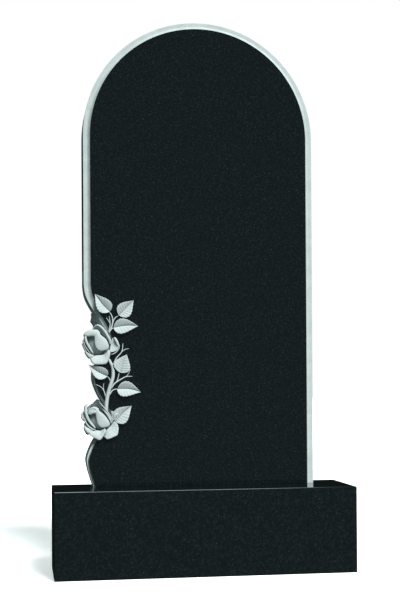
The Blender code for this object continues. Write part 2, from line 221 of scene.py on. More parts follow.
# Carved and tooled stone: pale and matt, mottled by a fine and a broad noise, pitted by the tool
def tooledStone():
    finish, tree, shader, place = newFinish("tooled black stone", tooled["roughness"],
                                            tooled["refraction"])
    grain = noiseNode(tree, *tooled["fineNoise"])
    cloud = noiseNode(tree, *tooled["broadNoise"])
    both = addNode(tree, "ShaderNodeMix", {"Factor": tooled["broadShare"]}, data_type="FLOAT")
    spread = rampNode(tree, tooled["lightRange"])
    body = mixColours(tree, tooled["dark"], tooled["light"])
    bump = addNode(tree, "ShaderNodeBump", {"Strength": tooled["bumpStrength"],
                                            "Distance": tooled["bumpDepth"]})
    tree.links.new(place, grain.inputs["Vector"])
    tree.links.new(place, cloud.inputs["Vector"])
    tree.links.new(grain.outputs["Fac"], both.inputs["A"])
    tree.links.new(cloud.outputs["Fac"], both.inputs["B"])
    tree.links.new(both.outputs["Result"], spread.inputs["Value"])
    tree.links.new(spread.outputs["Result"], body.inputs["Factor"])
    tree.links.new(body.outputs["Result"], shader.inputs["Base Color"])
    tree.links.new(grain.outputs["Fac"], bump.inputs["Height"])
    tree.links.new(bump.outputs["Normal"], shader.inputs["Normal"])
    return finish


finishes = [polishedStone(), tooledStone()]
isPolished, isTooled = 0, 1
print("finishes made")


# Mesh object from points in metres, faces, and the finish of each face, with its faces turned outwards
def stonePiece(name, points, faces, finish):
    mesh = bpy.data.meshes.new(name)
    mesh.from_pydata(points.tolist(), [], faces)
    for each in finishes:
        mesh.materials.append(each)
    finish = np.broadcast_to(finish, len(mesh.polygons)).astype(np.int32)
    mesh.polygons.foreach_set("material_index", finish)
    shell = bmesh.new()
    shell.from_mesh(mesh)
    bmesh.ops.recalc_face_normals(shell, faces=shell.faces[:])
    shell.to_mesh(mesh)
    shell.free()
    piece = bpy.data.objects.new(name, mesh)
    bpy.context.scene.collection.objects.link(piece)
    return piece


# Points of the drawing in the frame: right, away from the viewer and up, in metres
def onStone(points):
    return np.column_stack([leftX + points[:, 0] * mm,
                            faceY - points[:, 2] * mm,
                            footZ + points[:, 1] * mm])


carvedBlocks = []


# A block of the carving; its last face is its underside, which on a block that goes through the
# slab belongs to the polished back
def carve(name, shape, under=isTooled):
    points, faces = shape
    finish = np.full(len(faces), isTooled)
    finish[-1] = under
    carvedBlocks.append(stonePiece(name, onStone(points), faces, finish))


# Slab

slab = {
    "ledge": 8.8,             # flat of the border
    "slope": 7.2,             # hollow slope from the ledge up to the face
    "slopePower": 1.6,
    "slopeSteps": 8,
    # heights on the wavy side, with the ledge and the slope there
    "narrowing": [(0, 3.0, 2.0), (130, 2.6, 2.4), (200, 3.0, 1.4), (285, 3.0, 1.4), (340, 1.2, 2.5),
                  (362, 1.4, 4.6), (380, 1.5, 5.6), (410, 1.6, 6.5), (419, 2.3, 8.5),
                  (428, 4.2, 9.2), (438, 6.5, 9.0), (460, 8.5, 7.5), (508, 8.8, 7.2)],
    "sunk": 6.0,              # ledge below the face
    "corner": [(0, 0.8), (0.2, 0.25), (0.7, 0)],     # rounded corner: in from the wall, below the ledge
    "arris": 1.0,
    "arrisMiddle": 0.3,       # share of the arris at the middle of its round
    "archSteps": 120,
    "edgeSteps": 260,
    # left edge below the arch, downwards
    "wavyEdge": [(0, 508), (0, 490), (0.3, 472), (4.9, 447), (19, 419), (40, 388), (55, 361),
                 (61, 338), (55, 313), (38, 297), (24, 284), (20.5, 266), (21.5, 246), (32.5, 217),
                 (43.5, 198), (56.5, 178), (64, 160), (60, 139), (40, 124), (24.5, 111), (13, 89),
                 (5.2, 64), (8.3, 40), (14, 20), (20.5, 0)],
}


# The edge runs from the right foot over the half circle of the arch and down the wavy left side;
# the section (back arris, wall, rounded corner, ledge, slope) stands inward of it at each point, and
# its slope rises from the ledge with (share of the way)^slopePower
def slabPiece():
    radius = steleWidth / 2
    angle = np.linspace(0, math.pi, slab["archSteps"] + 1)
    arch = np.column_stack([radius * (1 + np.cos(angle)), steleHeight - radius * (1 - np.sin(angle))])
    wavy = curveThrough(slab["wavyEdge"], slab["edgeSteps"])
    edge = np.vstack([[[steleWidth, 0]], arch, wavy])
    inward = leftOf(edge)
    inward[0] = (-1, 0)
    inward[-1] = (1, 0)
    heights, ledges, slopes = np.array(slab["narrowing"]).T
    ledge = np.interp(edge[:, 1], heights, ledges)
    slope = np.interp(edge[:, 1], heights, slopes)
    ledge[:len(arch) + 1] = slab["ledge"]
    slope[:len(arch) + 1] = slab["slope"]
    arris, sunk = slab["arris"], slab["sunk"]
    middle = slab["arrisMiddle"] * arris
    rise = np.linspace(0, 1, slab["slopeSteps"])
    # each row of the section: millimetres in, share of the ledge, share of the slope, depth
    section = [(arris, 0, 0, -steleThickness), (middle, 0, 0, middle - steleThickness),
               (0, 0, 0, arris - steleThickness)]
    wallRow = len(section) - 1
    section += [(inside, 0, 0, -sunk - below) for inside, below in slab["corner"]]
    section += [(0, 1, q, -sunk * (1 - q ** slab["slopePower"])) for q in rise]
    section = np.array(section)
    offset = section[:, 0, None] + section[:, 1, None] * ledge + section[:, 2, None] * slope
    line = edge[None] + inward[None] * offset[..., None]
    depth = np.broadcast_to(section[:, 3, None], offset.shape)
    rows, columns = offset.shape
    points = np.dstack([line, depth]).reshape(-1, 3)
    quads = gridFaces(rows, columns)
    back = np.arange(columns)
    face = (rows - 1) * columns + back
    foot = np.concatenate([columns * np.arange(rows), columns * np.arange(rows)[::-1] + columns - 1])
    finish = np.full((rows - 1, columns - 1), isTooled)
    finish[wallRow, :len(arch) + 1] = isPolished
    finish = np.concatenate([finish.ravel(), [isPolished, isPolished, isTooled]])
    faces = quads.tolist() + [back.tolist(), face.tolist(), foot.tolist()]
    return stonePiece("stele stone", onStone(points), faces, finish)


# Leaves

leafCut = {
    "lift": 3.0,          # midrib above the face
    "fold": 9.0,          # how far the halves rise from it
    "slack": 0.25,        # share of that rise lost towards the edge
    "tipDrop": 0.4,       # share of the lift lost towards the tip
    "floor": -2.5,
    "undercut": 0.02,
    "teeth": 9,
    "perTooth": 12,
    "across": 41,
    "rowSpread": 1.4,     # above 1: rows closer at the base, columns closer at the midrib
    "columnSpread": 1.15,
    "baseRound": 0.6,     # powers of the outline at the base and at the tip
    "tipRound": 1.3,
    "ends": (0.0008, 0.992),
    "tooth": 0.085,       # share of the half width
    "sweep": 0.62,        # how far the veins lean to the tip
    "veinCurve": 1.2,
    "midrib": 1.0,        # depth and half width of its groove
    "midribWidth": 1.1,
    "vein": 0.32,
    "veinWidth": 0.13,    # half width, as a share of a tooth
    "quilt": 0.35,        # swelling between the veins
    "fade": 0.6,          # relief goes with (half width)^fade
    "edge": 0.7,          # how far the rim turns down
}
leaves = [
    {"base": (60, 411), "tip": (25, 453), "width": 35, "bow": 2},
    {"base": (82, 402), "tip": (117, 438), "width": 36, "bow": 0, "fold": 12.0},
    {"base": (69, 373), "tip": (128, 377), "width": 35, "bow": 3},
    {"base": (53.8, 259.6), "tip": (9.8, 287), "width": 30, "bow": 3},
    {"base": (84, 268), "tip": (100, 311), "width": 40, "bow": 2},
    {"base": (77, 229), "tip": (133, 221), "width": 36, "bow": 4},
    {"base": (73, 153), "tip": (111, 190), "width": 38, "bow": 2, "fold": 12.5},
]


# At the share t along the midrib and s from -1 to 1 across, a point lies on the vein from the midrib
# at t to the edge further on, at x = t + sweep t (1 - t), where the half width goes with
# x^baseRound (1 - x)^tipRound and a saw tooth at each vein. Its height is
# lift + fold |s| (1 - slack |s|), less a groove along midrib and veins, plus a low quilt between them
def leafTop(leaf):
    base, tip = np.array(leaf["base"], float), np.array(leaf["tip"], float)
    along = tip - base
    side = np.array([-along[1], along[0]]) / np.linalg.norm(along)
    v = np.linspace(0, 1, leafCut["teeth"] * leafCut["perTooth"] + 1)[:, None]
    s = np.linspace(-1, 1, leafCut["across"])[None, :]
    s = np.sign(s) * np.abs(s) ** leafCut["columnSpread"]
    t = v ** leafCut["rowSpread"]
    x = np.clip(t + leafCut["sweep"] * t * (1 - t), *leafCut["ends"])
    shape = x ** leafCut["baseRound"] * (1 - x) ** leafCut["tipRound"]
    half = leaf["width"] / 2 * shape / shape.max()
    phase = v * leafCut["teeth"] % 1
    half = half * (1 + leafCut["tooth"] * (phase - 0.5) * np.sin(math.pi * v) ** 0.5)
    far = t + (x - t) * np.abs(s) ** leafCut["veinCurve"]
    sideways = leaf["bow"] * np.sin(math.pi * far) + s * half
    spot = base + far[..., None] * along + sideways[..., None] * side
    out = np.abs(s)
    broad = np.minimum(1, 2 * half / leaf["width"]) ** leafCut["fade"]
    toVein = np.abs(phase - np.round(phase))
    lift = leafCut["lift"] * (1 - leafCut["tipDrop"] * t ** 3)
    fold = leaf.get("fold", leafCut["fold"]) * broad * out * (1 - leafCut["slack"] * out)
    midrib = leafCut["midrib"] * np.exp(-(out * half / leafCut["midribWidth"]) ** 2) * broad
    vein = leafCut["vein"] * np.exp(-(toVein / leafCut["veinWidth"]) ** 2)
    vein = vein * (1 - out ** 4) * np.minimum(1, out * half / 2)
    quilt = leafCut["quilt"] * np.sin(math.pi * phase) ** 2 * 4 * out * (1 - out) * broad
    height = lift + fold - midrib - vein + quilt - leafCut["edge"] * out ** 12
    return np.dstack([spot, height])


# Stem and stalks

stalkCut = {"floor": -2.5, "crest": 1.6, "across": 15, "perPoint": 9}
stalks = [
    {"start": 3.5, "end": 4.7,
     "route": [(55.5, 303.5), (60.8, 292), (65.5, 282), (67.2, 270), (66.8, 258), (64, 247),
               (58.9, 232), (54, 213), (51, 192), (52, 176)]},
    {"start": 1.9, "end": 1.1, "route": [(58, 360), (66, 380), (66, 398), (58, 413)]},
    {"start": 1.5, "end": 1.1, "route": [(66, 382), (72, 395), (85, 405)]},
    {"start": 1.5, "end": 1.1, "route": [(60, 365), (66, 371), (74, 374)]},
    {"start": 1.5, "end": 0.8, "route": [(58, 363), (61, 381), (59, 401)]},
    {"start": 1.1, "end": 0.7, "route": [(61, 383), (57, 390), (52, 397)]},
    {"start": 1.9, "end": 0.8, "route": [(66.2, 281), (75, 301), (88, 317), (91, 337)]},
    {"start": 1.1, "end": 0.7, "route": [(87, 316), (96, 322), (105, 324)]},
    {"start": 1.5, "end": 0.9, "route": [(60.8, 238), (60.6, 247), (58.4, 254), (52.5, 259.5)]},
    {"start": 2.1, "end": 0.9, "route": [(62, 230), (71.5, 242.5), (87, 252.6), (98, 258), (113, 259)]},
    {"start": 1.0, "end": 0.6, "route": [(97, 257), (104, 266), (108, 276)]},
    {"start": 1.3, "end": 0.9, "route": [(75, 245), (79, 255), (82, 269)]},
    {"start": 1.8, "end": 0.9, "route": [(58, 215), (64.5, 224.5), (70, 228), (80, 229.5)]},
    {"start": 1.4, "end": 0.7, "route": [(51, 206), (46, 224), (38, 234.5), (26, 240.5)]},
    {"start": 0.8, "end": 0.6, "route": [(45.5, 225), (44.6, 235), (45.6, 243.5)]},
]

barEnd = {"power": 10, "thinnest": 0.12, "drop": 0.8}


# Rounded bar along a route of (in, up, crest height, half width): at the angle a across it the point
# stands halfWidth cos a to the side and roll halfWidth (1 - sin a) below the crest. With s from -1
# to 1 along it, its ends close in by (1 - s^power)^0.5 and sink by the share drop of the half width
def barTop(route, count, across, roll=1.0):
    line = curveThrough(route, count)
    side = leftOf(line)
    s = np.linspace(-1, 1, count)
    close = np.sqrt(1 - np.abs(s) ** barEnd["power"])
    half = np.maximum(line[:, 3] * close, barEnd["thinnest"])[:, None]
    a = np.linspace(math.pi, 0, across)[None, :]
    spot = line[:, None, :2] + side[:, None, :] * (half * np.cos(a))[..., None]
    height = (line[:, 2, None] - roll * half * (1 - np.sin(a))
              - barEnd["drop"] * (1 - close)[:, None] * line[:, 3, None])
    return np.dstack([spot, height])


# Stalk: its half width goes evenly from start to end, and its crest stands crest half widths high
def stalkTop(stalk):
    route = np.array(stalk["route"], float)
    half = np.linspace(stalk["start"], stalk["end"], len(route))
    points = np.column_stack([route, stalkCut["crest"] * half, half])
    return barTop(points, stalkCut["perPoint"] * len(route), stalkCut["across"])


# Roses: points are (in, up, height out of the face), and a bar's points end with its half width

petalCut = {"rows": 24, "columns": 64, "rowSpread": 1.4, "edge": 1.3, "ribs": 0.2, "ribCount": 9,
            "undercut": 0.04, "floor": -18}
barCut = {"count": 64, "across": 17, "roll": 0.85}
domeCut = {"sides": 96, "rings": 22}

# Blocks of stone that carry the roses and the sepal, through the whole slab
roseBlocks = [
    {"centre": (38, 333), "halfLength": 41, "halfWidth": 31.5, "tilt": 25, "top": -9.0},
    {"centre": (37.5, 158), "halfLength": 40, "halfWidth": 34, "tilt": 10, "top": -13.5},
]

upperRose = {
    "domes": [
        # heart
        {"outline": [(24.9, 365), (31, 365), (39, 355.5), (50, 346.5), (55.9, 335.3), (57.5, 328),
                     (54.4, 322.5), (46.6, 319.2), (37.8, 318.4), (31.2, 321), (26.8, 327),
                     (24.4, 334.5), (23.8, 343), (23.8, 354)],
         "centre": (41, 335), "rim": 8.5, "peak": 13.2, "power": 0.5},
        # fold over the hollow
        {"outline": [(-0.4, 354.5), (1.6, 360.5), (6.4, 365), (12.5, 367.3), (20, 368.3),
                     (27, 368.4), (33, 366.5), (37, 359), (31, 352), (22, 351.5), (15.7, 352.2),
                     (7, 351.4)],
         "centre": (20, 360), "rim": 6.5, "peak": 13, "power": 0.6},
        # small petal below the left
        {"outline": [(2.2, 317.8), (13.5, 311.6), (21, 308.6), (21.5, 304.5), (12.6, 301), (5.2, 308.5)],
         "centre": (12, 308.5), "rim": 3.5, "peak": 8, "power": 0.6},
    ],
    "bars": [
        # left side of the folded petal
        [(3.2, 358.5, 9, 1.9), (2.9, 349, 11.5, 2.6), (5.2, 338.6, 12, 2.9), (9.8, 329.8, 11.8, 3.2),
         (15.6, 319.8, 10.8, 2.8), (21, 312.2, 8.8, 1.8)],
        # two petals seen edge on
        [(-1, 346, 5, 1.2), (-0.8, 339, 7, 1.5), (2.6, 329.6, 7.5, 1.6), (8.8, 319.6, 7.5, 1.6),
         (17.4, 310.6, 6.5, 1.3)],
        [(-4.4, 336.5, 3, 0.9), (-1.8, 331, 4.5, 1.2), (1.2, 324, 5, 1.3), (5.8, 315.5, 4.5, 1.2)],
        # rolled lip of the back petal
        [(20.5, 371.5, 3, 0.8), (26.5, 377, 6, 1.3), (32, 378.6, 8, 2.0), (40, 373.5, 9.3, 3.0),
         (47.8, 364.5, 9.6, 3.2), (54, 354.5, 9.1, 3.0), (59.6, 343.5, 8.4, 3.0),
         (61, 333.5, 7.4, 2.2)],
        # rolled upper edge of the petal that opens to the right, and the lip under it
        [(69, 350.4, 5, 1.0), (71.6, 348.6, 8, 2.2), (73.8, 344.6, 9.6, 3.0), (76.2, 339.4, 10.2, 3.1),
         (78.2, 334.4, 10.2, 2.9), (80.4, 329.6, 9.8, 2.4), (81.4, 325.6, 9, 1.4)],
        [(82.6, 326.4, 7, 0.8), (78.2, 320.2, 8, 1.1), (74.6, 316, 8.3, 1.2), (70.2, 312.8, 8, 1.2),
         (66.4, 311, 7, 1.2), (61.8, 310.4, 5, 1.0)],
    ],
    "petals": [
        # inside of the back petal
        {"root": [(24, 367, -6), (34, 363, -6), (45, 353, -6), (53.5, 341, -6), (57, 330, -5)],
         "lip": [(26.5, 376.5, 5), (33, 378, 7), (41, 372.5, 8), (49, 363, 8), (60, 341, 7)],
         "belly": -2.0},
        # broad petal across the bottom, seen from outside
        {"root": [(13.8, 301, 6), (16.5, 293, 9.5), (22, 287.8, 12), (36, 287, 13),
                  (49, 288.2, 12.5), (54.5, 294, 11), (59, 303, 8), (61.3, 313, 6)],
         "lip": [(18.5, 305, 3.5), (24, 307.2, 4.5), (34, 308.6, 5), (44, 309.6, 6), (50, 313.6, 8.5),
                 (54.5, 318.6, 11), (57.4, 321.2, 10), (59.8, 319, 8)], "belly": 2.5, "skew": 0.7},
        # petal that opens to the right
        {"root": [(67.4, 349.6, 0.8), (64.2, 343, 0.8), (63.4, 336, 0.8), (61.6, 328, 1.6),
                  (60.6, 321.5, 3.5), (61.8, 316, 6)],
         "lip": [(72, 349, 7), (75, 343.4, 9.4), (77.8, 337.6, 10), (80.6, 331, 9.8), (79.6, 325.2, 9.8),
                 (75.6, 320.6, 9.6), (71.2, 317.8, 9.2), (66, 316.2, 8.6)], "belly": -1.6, "edge": 0.3},
        # inner layer that hugs the heart
        {"root": [(8, 353, -10), (8.5, 343, -9.5), (11.5, 332, -8.5), (17, 321.5, -7),
                  (25, 313.5, -5), (34, 310.5, -3)],
         "lip": [(26, 353, 1), (25.8, 342, 6), (26.8, 331, 8), (31, 322.8, 7.5), (38, 318.6, 5.5),
                 (46, 317.5, 4)],
         "belly": -0.8},
    ],
}

lowerRose = {
    "domes": [
        # heart
        {"outline": [(24, 186.5), (28, 184), (33.8, 179), (41.3, 173), (48.2, 166.3), (54.6, 157.2),
                     (58, 150.5), (58.2, 145), (54, 141), (44, 138.8), (37, 140), (32, 144.5),
                     (29, 151), (27.2, 160), (26, 169), (24.5, 178)],
         "centre": (43.5, 156), "rim": 8.5, "peak": 13.2, "power": 0.5},
        # fold over the hollow
        {"outline": [(8.2, 171.5), (8.8, 179), (12.3, 184.2), (19, 187.4), (26, 188), (33, 183),
                     (32, 175), (26.5, 171.5), (20, 170.8), (14, 169)],
         "centre": (20, 179), "rim": 7, "peak": 12, "power": 0.6},
    ],
    "bars": [
        # left petal
        [(9, 195.5, 8, 2.2), (3.6, 188.5, 11, 3.4), (2.4, 178, 12, 3.8), (4.6, 168, 12, 3.5),
         (7.6, 160, 12, 3.3), (12.4, 152.3, 11.5, 3.1), (18.6, 144.8, 10.8, 2.8),
         (25.6, 137.6, 9.2, 2.2)],
        # petals seen edge on
        [(-0.6, 163, 8, 1.5), (1.4, 155, 9, 1.7), (4.6, 148.4, 9, 1.8), (10, 141.8, 8.5, 1.8),
         (17.4, 136.6, 8, 1.7), (25.6, 133.8, 7, 1.4)],
        # two soft curls in the fold
        [(11.5, 181, 10.5, 1.5), (16.5, 184.2, 12.4, 1.8), (23, 184.4, 13, 1.7), (28, 181, 12, 1.4)],
        [(10.5, 172.6, 9.5, 1.4), (16, 173.8, 12, 1.9), (22, 175.6, 13, 2.0), (28, 176, 12.4, 1.8)],
        # outer and inner edge of the back petal
        [(33, 201, 5, 0.8), (40, 192.6, 6.5, 1.0), (46.8, 184.6, 7.5, 1.1), (53.9, 176, 8, 1.2),
         (60, 167, 8.3, 1.2), (64, 157, 8, 1.2), (64.8, 149, 6.5, 0.9)],
        [(40, 187, 1, 1.2), (47, 178.6, 5.5, 2.2), (53, 171, 7.6, 2.9), (57.8, 163, 8.2, 2.9),
         (60.8, 154.6, 7.8, 2.2), (62, 148, 7, 1.4)],
        # lower edge of the right petal
        [(50.5, 114, 7, 1.3), (60, 116.2, 8.8, 1.5), (68.5, 120, 9.6, 1.6), (75, 124, 9.4, 1.6),
         (77.4, 133, 8.4, 1.3)],
    ],
    "petals": [
        # inside of the back petal
        {"root": [(16, 186, -11), (27, 188, -13), (37, 180.5, -13), (46, 172, -12), (55, 161, -10),
                  (59, 151, -7)],
         "lip": [(14, 189.5, 6), (19, 196.5, 6.5), (25, 203.4, 6), (30.5, 205.8, 6), (35.5, 203, 6),
                 (40, 196, 6.5), (45, 188.5, 7.5), (53, 177.5, 8), (63, 158, 7.5)], "belly": -3.5},
        # inner layer that hugs the heart
        {"root": [(10.5, 171, -10), (11.5, 161, -9.5), (15, 152.5, -8.5), (20.5, 144.5, -7),
                  (28, 137.5, -5), (38, 133.5, -3)],
         "lip": [(29, 170, 1), (29, 160, 6), (30.5, 151, 8), (34, 144.8, 7.5), (40, 140.4, 5.5),
                 (48, 139.2, 4)],
         "belly": -0.8},
        # petal across the bottom, seen from outside
        {"root": [(10, 127.5, 7), (13.7, 119.8, 10), (25, 114.4, 12.5), (35, 110.9, 13),
                  (43.2, 118.8, 12), (48, 127, 8)],
         "lip": [(16.5, 132, 5), (29, 132.8, 5), (36.3, 132.2, 5.5), (42.4, 135.4, 7), (47, 137.6, 9),
                 (50.2, 133.8, 8)], "belly": 2.5, "skew": 0.7},
        # rounded petal at the lower left
        {"root": [(3, 147, -1), (9, 139, 6), (19, 132.5, 8)],
         "lip": [(-0.6, 151, -2), (-2.8, 139, 2.5), (1, 128, 3.5), (7, 122.4, 3.5), (15, 125, 4)],
         "belly": 3.5, "skew": 1.4, "undercut": 0.2},
        # petal at the lower right
        {"root": [(46.6, 122, 3), (49.5, 130, 3.5), (54, 137.2, 3), (60, 142, 3), (66, 150, 3.5)],
         "lip": [(45.5, 117.6, 7), (51.5, 112.5, 10.5), (60.2, 114.6, 12), (68.7, 118.4, 12),
                 (76, 122.3, 11), (78.6, 132, 9.5), (78.8, 140.5, 8), (75.8, 149, 6.6),
                 (68.6, 154.6, 5.6)], "belly": 0.6, "ribs": 0.4},
        # small petal behind the right
        {"root": [(63, 159, 6.5), (68, 155.5, 7), (73, 162.5, 8.5)],
         "lip": [(62, 178.5, 7.5), (70.5, 175.5, 11), (78.5, 171.2, 11)], "belly": 1.0},
        # tip at the far left
        {"root": [(3, 175, 4), (2.4, 155, 4.5)],
         "lip": [(-1.6, 177.5, 3), (-6, 174, 4), (-8.4, 168, 4.5), (-7.6, 161.4, 4.5),
                 (-4.6, 155.4, 4)], "belly": 0.6},
    ],
}

# Sepal between the border and the upper rose: from its outer edge, well behind the face, to its
# inner edge under the ledge of the border
sepal = {"root": [(20.5, 410, -12), (21.5, 402, -28), (19.4, 391, -36), (23.5, 385, -36),
                  (26.2, 378, -32), (29, 366, -28)],
         "lip": [(24.5, 412, -6.8), (31, 402, -6.8), (38.5, 391, -6.8), (45.5, 380, -6.8),
                 (50.5, 371, -6.8), (55, 362, -6.8)],
         "belly": 1.0, "floor": -steleThickness}


# Egg-shaped block on a tilted axis: halfLength cos a along it and halfWidth sin a across
def eggBlock(form):
    a = np.linspace(0, 2 * math.pi, domeCut["sides"], endpoint=False)
    lean = math.radians(90 + form["tilt"])
    along = form["halfLength"] * np.cos(a)
    across = form["halfWidth"] * np.sin(a)
    u = form["centre"][0] + along * math.cos(lean) + across * math.sin(lean)
    h = form["centre"][1] + along * math.sin(lean) - across * math.cos(lean)
    upper = np.column_stack([u, h, np.full_like(u, form["top"])])
    lower = np.column_stack([u, h, np.full_like(u, -steleThickness)])
    ends = [list(range(len(u))), list(range(len(u), 2 * len(u)))]
    return np.vstack([upper, lower]), gridFaces(2, len(u), wrap=True).tolist() + ends


# Dome over a closed outline: at the angle q from its top a ring is centre + (outline - centre) sin q,
# at the height rim + (peak - rim) cos(q)^power
def domeShape(form):
    outline = curveThrough(form["outline"], domeCut["sides"], closed=True)
    centre = np.array(form["centre"])
    q = np.linspace(0, math.pi / 2, domeCut["rings"] + 1)[1:, None, None]
    spot = centre + (outline - centre)[None] * np.sin(q)
    height = form["rim"] + (form["peak"] - form["rim"]) * np.cos(q).clip(0, 1) ** form["power"]
    rings = np.dstack([spot, np.broadcast_to(height[..., 0], spot.shape[:2])])
    below = rings[-1:].copy()
    below[..., 2] = petalCut["floor"]
    rings = np.vstack([rings, below])
    rows, columns = rings.shape[:2]
    pole = rows * columns
    here = np.arange(columns)
    fan = np.column_stack([np.full(columns, pole), here, (here + 1) % columns])
    points = np.vstack([rings.reshape(-1, 3), [[*centre, form["peak"]]]])
    faces = gridFaces(rows, columns, wrap=True).tolist() + fan.tolist()
    return points, faces + [((rows - 1) * columns + here).tolist()]


# Sheet stretched from its root line to its lip, root(s) (1 - t) + lip(s) t, raised by
# belly sin(pi t^skew) and let down by edge ((2 s - 1)^8 + t^10), so that its borders are round, with
# faint ribs towards the lip
def petalTop(form):
    s = np.linspace(0, 1, petalCut["columns"])[None, :]
    t = 1 - (1 - np.linspace(0, 1, petalCut["rows"])[:, None]) ** petalCut["rowSpread"]
    root = curveThrough(form["root"], petalCut["columns"])[None]
    lip = curveThrough(form["lip"], petalCut["columns"])[None]
    top = root * (1 - t)[..., None] + lip * t[..., None]
    ribs = form.get("ribs", petalCut["ribs"]) * t * np.sin(math.pi * t)
    ribs = ribs * np.cos(2 * math.pi * petalCut["ribCount"] * s)
    top[..., 2] += (form["belly"] * np.sin(math.pi * t ** form.get("skew", 1)) + ribs
                    - form.get("edge", petalCut["edge"]) * (np.abs(2 * s - 1) ** 8 + t ** 10))
    return top


# Domes, rolled lips and petals of one rose, each a block of its own
def carveRose(name, rose):
    for number, form in enumerate(rose["domes"]):
        carve(f"{name} dome {number}", domeShape(form))
    for number, route in enumerate(rose["bars"]):
        top = barTop(route, barCut["count"], barCut["across"], barCut["roll"])
        carve(f"{name} lip {number}", blockUnder(top, petalCut["floor"]))
    for number, form in enumerate(rose["petals"]):
        undercut = form.get("undercut", petalCut["undercut"])
        carve(f"{name} petal {number}", blockUnder(petalTop(form), petalCut["floor"], undercut))


shading = {"sharpAngle": 34, "square": 0.99999}      # degrees; share of a normal along one axis


# Smooth shading for round forms; planes square to the axes and sharp edges stay as they are
def roundOnly(mesh):
    normals = np.zeros(3 * len(mesh.polygons), np.float32)
    mesh.polygons.foreach_get("normal", normals)
    isPlane = np.abs(normals.reshape(-1, 3)).max(axis=1) > shading["square"]
    mesh.shade_smooth()
    mesh.set_sharp_from_angle(angle=math.radians(shading["sharpAngle"]))
    mesh.polygons.foreach_set("use_smooth", ~isPlane)
    mesh.update()


# One closed piece: all the carving is united with the slab
def uniteStone(name, first, blocks):
    group = bpy.data.collections.new(name + " blocks")
    bpy.context.scene.collection.children.link(group)
    for block in blocks:
        group.objects.link(block)
    union = first.modifiers.new("carving", "BOOLEAN")
    union.operation = "UNION"
    union.solver = "MANIFOLD"
    union.operand_type = "COLLECTION"
    union.collection = group
    united = first.evaluated_get(bpy.context.evaluated_depsgraph_get())
    mesh = bpy.data.meshes.new_from_object(united)
    mesh.name = name
    for block in [first] + blocks:
        bpy.data.objects.remove(block)
    bpy.data.collections.remove(group)
    roundOnly(mesh)
    piece = bpy.data.objects.new(name, mesh)
    bpy.context.scene.collection.objects.link(piece)
    return piece


stone = slabPiece()
for number, leaf in enumerate(leaves):
    carve(f"leaf {number}", blockUnder(leafTop(leaf), leafCut["floor"], leafCut["undercut"]))
for number, stalk in enumerate(stalks):
    carve(f"stalk {number}", blockUnder(stalkTop(stalk), stalkCut["floor"]))
for number, form in enumerate(roseBlocks):
    carve(f"rose block {number}", eggBlock(form), isPolished)
carve("sepal", blockUnder(petalTop(sepal), sepal["floor"]), isPolished)
carveRose("upper rose", upperRose)
carveRose("lower rose", lowerRose)
stele = uniteStone("steleStone", stone, carvedBlocks)
print("stele carved:", len(stele.data.polygons), "faces")


# Plinth

# arris in millimetres; the least radius of a corner arc is a share of it
plinth = {"arris": 2.6, "arrisSteps": 4, "cornerSteps": 5, "leastRadius": 0.01}


# A section up the side (lower arris, wall, upper arris) carried round the rectangle: a row with the
# inset i stands on corner arcs of the radius arris - i
def plinthPiece():
    low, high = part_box("plinth")
    arris = plinth["arris"] * mm
    turn = np.linspace(0, math.pi / 2, plinth["cornerSteps"])
    bend = np.linspace(0, math.pi / 2, plinth["arrisSteps"])
    inset = np.concatenate([arris * (1 - np.sin(bend)), arris * (1 - np.cos(bend))])
    level = np.concatenate([low.z + arris * (1 - np.cos(bend)), high.z - arris * (1 - np.sin(bend))])
    radius = np.maximum(arris - inset, plinth["leastRadius"] * arris)[:, None]
    points = []
    for quarter, (x, y) in enumerate([(high.x, high.y), (low.x, high.y), (low.x, low.y),
                                      (high.x, low.y)]):
        angle = turn + quarter * math.pi / 2
        cornerX = x - arris * np.sign(x)
        cornerY = y - arris * np.sign(y)
        across = cornerX + radius * np.cos(angle)
        along = cornerY + radius * np.sin(angle)
        points.append(np.dstack([across, along, np.broadcast_to(level[:, None], across.shape)]))
    grid = np.concatenate(points, axis=1)
    rows, columns = grid.shape[:2]
    quads = gridFaces(rows, columns, wrap=True)
    under = np.arange(columns)
    finish = np.full(len(quads) + 2, isPolished)
    finish[-2] = isTooled
    faces = quads.tolist() + [under.tolist(), ((rows - 1) * columns + under).tolist()]
    return stonePiece("plinthStone", grid.reshape(-1, 3), faces, finish)


block = plinthPiece()
roundOnly(block.data)
print("plinth made")

for piece, node in ((stele, "stele"), (block, "plinth")):
    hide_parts(node)
    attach(piece, "root")


# Studio

